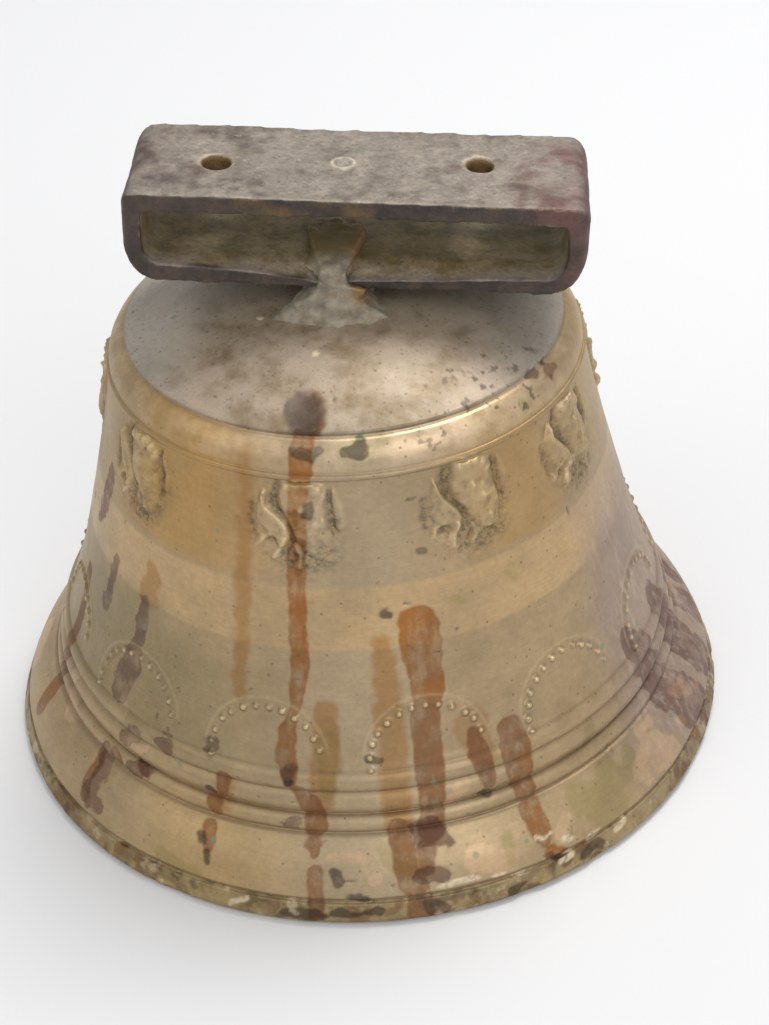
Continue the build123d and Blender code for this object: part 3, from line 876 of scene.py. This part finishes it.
def loop_look():
    """Dark purple-brown patina, grey dust on top, gold where straps rubbed."""
    look = Look("loop_patina")
    mottle, speck = look.noise(7, 5, 0.62), look.noise(1.2, 4, 0.68)
    look.colour = look.mix(look.range(mottle, 0.3, 0.7), tone(54, 48, 46), tone(84, 70, 58))
    top = look.mix(look.range(mottle, 0.38, 0.62), tone(96, 84, 73), tone(117, 106, 95))
    look.coat("top", top)
    look.coat("red", tone(108, 74, 68))
    floor_tone = look.mix(look.range(mottle, 0.35, 0.65), tone(112, 98, 62), tone(150, 132, 98))
    look.coat("inner", floor_tone)
    # a painted pool of light on the slot floor under the holes
    look.coat("lit", tone(198, 186, 156))
    # the floor's sloping front: grey-mauve patina, lightened with painted light from the front
    look.coat("slope", tone(160, 146, 136))
    look.coat("gold", tone(112, 88, 54))
    worn = look.times("worn", look.range(speck, 0.35, 0.6, 0.2, 0.8))
    look.coat(worn, tone(160, 142, 120))
    look.coat("mark", tone(196, 184, 168))
    dusty = look.range(look.noise(2.0, 5, 0.75), 0.56, 0.72, 0.0, 0.42)
    look.coat(look.times(dusty, "top"), tone(184, 172, 158))
    near = look.dots(2.6)
    look.coat(look.range(near, 0.2, 0.1, 0.0, 0.35), tone(58, 48, 42))
    rubs = look.noise(1.6, 4, 0.7, squash=(0.4, 1.0, 1.0))
    shade = look.times(look.range(speck, 0.25, 0.75, 0.76, 1.18), look.range(rubs, 0.3, 0.7, 0.90, 1.08))
    look.coat(1.0, look.grey_of(shade), "MULTIPLY")
    rough = look.range(speck, 0.2, 0.8, 0.44, 0.62)
    metal = look.maths("MULTIPLY_ADD", "top", 0.1, 0.3)
    normal = look.bump(look.noise(0.8, 4, 0.7), 0.5, 0.0002)
    normal = look.bump(look.noise(5.0, 4, 0.6), 0.35, 0.0006, normal)
    return look.finish(metal, rough, normal)


def neck_look():
    """Rough run bronze, grey-green with yellow-brown spots."""
    look = Look("neck_bronze")
    mottle, speck = look.noise(3.2, 4), look.noise(1.1, 3, 0.65)
    look.colour = look.mix(look.range(mottle, 0.32, 0.68), tone(124, 115, 100), tone(158, 148, 130))
    look.coat(look.range(speck, 0.55, 0.7, 0.0, 0.6), tone(158, 126, 78))
    look.coat("worn", tone(176, 162, 138))
    look.coat("behind", tone(128, 112, 78))
    look.coat("rusty", tone(146, 112, 74))
    look.coat("low", tone(84, 76, 64))
    rough = look.range(speck, 0.2, 0.8, 0.5, 0.7)
    normal = look.bump(look.noise(0.7, 4, 0.7), 0.6, 0.00025)
    return look.finish(0.45, rough, normal)


def iron_look():
    """Hammered iron, dark scale with rust in the hollows and bright where it rubs."""
    look = Look("forged_iron")
    mottle, speck = look.noise(4.5, 4), look.noise(1.0, 3, 0.65)
    look.colour = look.mix(look.range(mottle, 0.35, 0.65), tone(64, 54, 48), tone(96, 70, 52))
    rust = look.range(speck, 0.45, 0.68, 0.0, 0.8)
    look.coat(rust, tone(122, 74, 42))
    look.coat("worn", tone(128, 116, 106))
    look.coat("struck", tone(150, 140, 128))
    rough = look.range(speck, 0.2, 0.8, 0.42, 0.72)
    metal = look.maths("MULTIPLY_ADD", rust, -0.5, 0.75)
    normal = look.bump(look.noise(0.9, 4, 0.7), 0.6, 0.00025)
    return look.finish(metal, rough, normal)


# ---- pieces
def build_bell():
    normal_r, normal_z = np.repeat(facing[:, 0], COLUMNS), np.repeat(facing[:, 1], COLUMNS)
    out = np.stack([normal_r * np.sin(TURN), -normal_r * np.cos(TURN), normal_z], axis=1)
    points = GRID + out * relief[:, None]
    points[:, 2] = np.maximum(points[:, 2], 0)
    row, column = np.meshgrid(np.arange(rows), np.arange(COLUMNS), indexing="ij")
    next_row, next_column = (row + 1) % rows, (column + 1) % COLUMNS
    corners = [(row, column), (row, next_column), (next_row, next_column), (next_row, column)]
    faces = np.stack([(r * COLUMNS + c).ravel() for r, c in corners], axis=1)
    piece = make_piece("bell_casting", points, faces, masks)
    return fit(piece, "bell", "bell_bronze", bell_look(), "bell_shell")


LOOP_SPOT, LOOP_TILT = np.array((4.5, 0, 133.7)), math.radians(3.68)
LOOP_W, LOOP_H, BAR_T = 108.7, 22.8, 4.6
LOOP_HOLES = [(-33.5, -0.4), (28.5, 2.1)]
ALONG = np.array((math.cos(LOOP_TILT), 0, -math.sin(LOOP_TILT)))
UPWARD = np.array((math.sin(LOOP_TILT), 0, math.cos(LOOP_TILT)))


def in_loop(points):
    """(along, across, up) from the middle of the loop's underside."""
    off = points - LOOP_SPOT
    return off @ ALONG, off[:, 1], off @ UPWARD


# how far the floor's front edge hangs below the flat, at places along the loop
DROOP_AT = [-49, -38, -24, -12.6, -7.9, -5, -2, -0.8, 6, 20, 32, 48, 50]
DROOP = [0.0, 0.2, 1.0, 2.6, 3.6, 3.6, 3.2, 2.7, 2.4, 1.8, 1.0, 0.6, 0.0]


def build_loop():
    piece = recast("loop_casting", "strap_loop", 0.5)
    mesh = piece.data
    edge = jutting(mesh, 6)
    points, normals = points_of(mesh), normals_of(mesh)
    x, y, z = in_loop(points)
    up, front = normals @ UPWARD, -normals[:, 1]
    on_top = step(0.6, 0.9, up) * (z > LOOP_H - 2.5)
    push = 0.26 * noise(points, 11, 1) + 0.14 * noise(points, 4.5, 2) + 0.06 * noise(points, 1.6, 3)
    # hammered, wavy front edges
    push += np.clip(edge, 0, 0.5) * (0.9 * noise(points, 7, 4) + 0.5 * noise(points, 3, 5))
    # a cast ring mark in the middle of the top
    ring = np.hypot(x + 3.7, y - 0.8)
    push += on_top * (0.3 * np.exp(-(((ring - 2.6) / 0.6) ** 2)) - 0.15 * step(2.2, 1.4, ring))
    points += normals * push[:, None]
    # the floor's worn front edge slopes down toward the neck
    slope = step(-10.5, -18, y)
    sunk = np.interp(x, DROOP_AT, DROOP) * slope * np.clip(z / BAR_T, 0, 1) * (z < 7)
    points -= UPWARD * sunk[:, None]
    set_points(mesh, points)
    hole = np.minimum.reduce([np.hypot(x - hx, y - hy) for hx, hy in LOOP_HOLES])
    inner = (z > BAR_T - 0.6) & (z < LOOP_H - BAR_T + 0.6) & (np.abs(x) < LOOP_W / 2 - 4.2)
    inner = inner * step(-17.4, -16.2, y)
    patch = noise(points, 9, 7) + 0.5 * noise(points, 3, 8)
    ends = step(30, 50, np.abs(x + 3 * patch))
    shown = (1 - step(-0.2, 0.9, patch + 0.5 * noise(points, 2, 9))) * on_top
    # red ends and hole edges, a painted pool of light under the holes, gold at the front and in the bores
    red = (0.5 + 0.3 * np.sign(x)) * ends * step(-0.6, 0.5, patch)
    red = np.clip(red + 0.6 * step(9, 4, hole) * step(0.1, 0.6, patch), 0, 1)
    lit = sum(np.exp(-(((x - hx) / 5) ** 2) - ((y - 8) / 4) ** 2) for hx, hy in LOOP_HOLES)
    gold = step(0.5, 0.9, front) * (z > LOOP_H - 5.5) * step(24, 6, np.abs(x + 12)) * step(-0.4, 0.5, patch)
    bore = step(4.2, 3.4, hole) * (z > LOOP_H - BAR_T - 0.5) * step(0.9, 0.5, up)
    worn = step(0.12, 0.34, edge) * step(-0.3, 0.7, patch) + 1.2 * on_top * step(4.8, 3.8, hole)
    stamp = np.exp(-(((ring - 2.6) / 0.5) ** 2)) + 0.5 * step(1.9, 1.2, ring)
    add_values(mesh, {
        "top": on_top * step(1.1, 0.2, 0.75 * ends + 0.35 * patch),
        "red": red * (1 - inner),
        "inner": inner,
        "lit": inner * lit * (z < 7),
        # the floor's sloping front: grey-mauve, lightened with painted light from the front
        "slope": slope * step(0.3, 0.8, up) * (z < 7) * step(-0.9, 0.3, patch) * 0.8,
        "gold": np.maximum(gold * 0.8, bore),
        "worn": np.clip(worn, 0, 1),
        "mark": on_top * np.clip(stamp, 0, 1) * 0.6 + 0.25 * shown,
    })
    return fit(piece, "bell", "loop_patina", loop_look(), "strap_loop")


# extra lumps of run metal, each the hull of its corners. The foot's are in the
# row's frame and the head's are (along, across, up) in the loop.
FOOT_LUMPS = [
    [(-20.5, -18, 125.4), (-11, -23.4, 125), (-1, -25, 125), (8, -24, 125), (17, -19, 125.2)]
    + [(10, -9, 127.2), (-12, -9, 127.2), (-7.5, -18.8, 128.4), (5.5, -18.8, 128.4), (5, -10, 129)]
    + [(-6, -10, 129)],
    [(-15.5, -19.4, 126.4), (-8, -22.4, 126.2), (-1, -23.2, 126.2), (6, -22.6, 126.2), (12.5, -20, 126.5)]
    + [(-3.8, -19.6, 134), (3.2, -19.5, 134), (3.2, -12, 134.6), (-3.8, -12, 134.6), (8, -11, 128)]
    + [(-9.5, -11, 128)],
    [(-4.6, -19.4, 130), (3.6, -19.4, 130), (-3.4, -19.4, 136.4), (3, -19.4, 136.2), (3.2, -11, 136.6)]
    + [(-3.4, -11, 136.6), (4, -11, 130), (-4.6, -11, 130)],
    [(1.6, -20.4, 131.6), (7.4, -20.2, 132.6), (7.8, -19.4, 134.2), (4.4, -20.6, 135.4), (1.6, -19.8, 135.2)]
    + [(6.8, -17.4, 133.4), (2, -16, 134.6), (2, -16, 131.4)],
]
HEAD_LUMPS = [
    [(-12.8, -13.6, 3.2), (1.2, -13.6, 3.2), (-6.8, -19.6, 1.6), (-1.8, -19.6, 1.6), (-10, -9, 5.4)]
    + [(-1.4, -9, 5.6), (-6.6, -17.6, 4), (-2.6, -17.6, 4), (-5.2, -10, 7.2)],
    [(-11, -10, 4), (0.4, -10, 4), (-8, -6, 7), (-3, -6, 7.4), (-5.4, 2, 7.6), (-10, 8, 4), (-1, 8, 4)],
]


def build_neck(name, node, lumps, material):
    piece = recast(name, node, 0.45, lumps)
    mesh = piece.data
    soften(mesh, 6)
    points, normals = points_of(mesh), normals_of(mesh)
    push = 0.55 * noise(points, 5.5, 1) + 0.40 * noise(points, 2.4, 2) + 0.16 * noise(points, 1.1, 3)
    points += normals * push[:, None]
    set_points(mesh, points)
    edge = jutting(mesh, 8)
    rusty = step(3, 6.5, points[:, 0]) * step(129, 132, points[:, 2])
    behind = step(-16, -12, points[:, 1]) * step(133, 136, points[:, 2])
    worn, low = step(0.12, 0.5, edge), 0.5 * step(-0.1, -0.4, edge)
    add_values(mesh, {"worn": worn, "low": low, "rusty": rusty, "behind": behind})
    return fit(piece, "bell", "neck_bronze", material, node)


def build_iron(name, node, body, voxel, material, dents=0.35):
    """Forged pieces: hammer dents, and wear where they stand out."""
    piece = recast(name, node, voxel)
    mesh = piece.data
    points, normals = points_of(mesh), normals_of(mesh)
    push = -dents * np.clip(noise(points, 5, 1) + 0.3, 0, 1) + 0.07 * noise(points, 1.2, 3)
    points += normals * push[:, None]
    set_points(mesh, points)
    edge = jutting(mesh, 6)
    across = np.hypot(points[:, 0], points[:, 1])
    struck = step(15.5, 16.6, across) * step(11, 5, np.abs(points[:, 2] - 23)) * (body == "clapper")
    add_values(mesh, {"worn": step(0.05, 0.3, edge), "struck": 0.7 * struck})
    return fit(piece, body, "forged_iron", material, node)


build_bell()
build_loop()
neck_material, iron_material = neck_look(), iron_look()
build_neck("neck_foot_casting", "neck_foot", FOOT_LUMPS, neck_material)
head_lumps = [[LOOP_SPOT + x * ALONG + (0, y, 0) + z * UPWARD for x, y, z in lump] for lump in HEAD_LUMPS]
build_neck("neck_head_casting", "neck_head", head_lumps, neck_material)
build_iron("staple_forging", "clapper_staple", "bell", 0.45, iron_material, 0.25)
build_iron("link_forging", "hanger_link", "link", 0.35, iron_material, 0.2)
build_iron("rod_forging", "clapper_rod", "clapper", 0.4, iron_material, 0.3)
build_iron("ball_forging", "clapper_ball", "clapper", 0.55, iron_material, 0.45)

# ---- floor, light and camera
FLOOR_TONE, FLOOR_HOLE, FLOOR_MID, FLOOR_R = tone(220, 220, 220), 0.086, 0.4, 3.0
FLOOR_DROP = 0.0003  # so the rim and the floor aren't in one plane


def build_floor():
    """A plain pale floor, open under the bell's mouth so the clapper can be looked at."""
    count = 96
    turns = [2 * math.pi * i / count for i in range(count)]
    radii = (FLOOR_HOLE, FLOOR_MID, FLOOR_R)
    corners = [(r * math.cos(t), r * math.sin(t), -FLOOR_DROP) for r in radii for t in turns]
    faces = []
    for ring in (0, count):
        for i in range(count):
            after = (i + 1) % count
            faces.append((ring + i, ring + count + i, ring + count + after, ring + after))
    mesh = bpy.data.meshes.new("floor")
    mesh.from_pydata(corners, [], faces)
    floor = bpy.data.objects.new("floor", mesh)
    bpy.context.scene.collection.objects.link(floor)
    look = Look("floor_paint")
    normal = look.bump(look.noise(2.0, 2), 0.05, 0.0001)
    look.colour = FLOOR_TONE
    mesh.materials.append(look.finish(0.0, 0.7, normal, 0.2))


def add_light(name, place, aim, size, energy):
    """A square soft light, in metres and watts."""
    data = bpy.data.lights.new(name, "AREA")
    data.size, data.energy = size, energy
    light = bpy.data.objects.new(name, data)
    bpy.context.scene.collection.objects.link(light)
    light.location = place
    towards = Vector(aim) - light.location
    light.rotation_euler = towards.to_track_quat("-Z", "Y").to_euler()


CAMERA_SPOT = (0.0456, -0.4618, 0.4004)
HEADING, PITCH, ROLL = (math.radians(a) for a in (-4.78, 36.76, -3.56))
LENS, SENSOR = 77.27, 36.0


def add_camera():
    data = bpy.data.cameras.new("camera")
    data.lens, data.sensor_width = LENS, SENSOR
    data.clip_start = 0.01
    camera = bpy.data.objects.new("camera", data)
    bpy.context.scene.collection.objects.link(camera)
    level = math.cos(PITCH)
    ahead_of = np.array((math.sin(HEADING) * level, math.cos(HEADING) * level, -math.sin(PITCH)))
    right = np.cross(ahead_of, (0, 0, 1))
    right /= np.linalg.norm(right)
    above = np.cross(right, ahead_of)
    rolled_right = math.cos(ROLL) * right + math.sin(ROLL) * above
    rolled_up = -math.sin(ROLL) * right + math.cos(ROLL) * above
    turn = Matrix(np.column_stack([rolled_right, rolled_up, -ahead_of]).tolist()).to_4x4()
    camera.matrix_world = Matrix.Translation(CAMERA_SPOT) @ turn
    bpy.context.scene.camera = camera


build_floor()
add_light("overhead", (0.30, 0.50, 1.30), (0, 0, 0.05), 0.6, 12.5)
add_light("front_right", (0.75, -1.2, 1.0), (0, 0, 0.08), 1.2, 9)
add_light("front_left", (-0.9, -0.8, 1.1), (0, 0, 0.05), 1.2, 4)
world = bpy.data.worlds.new("pale_room")
world.use_nodes = True
world.node_tree.nodes["Background"].inputs["Color"].default_value = (0.93, 0.94, 0.96, 1)
world.node_tree.nodes["Background"].inputs["Strength"].default_value = 0.6
bpy.context.scene.world = world
bpy.context.scene.view_settings.view_transform = "Standard"
add_camera()

bpy.context.view_layer.update()
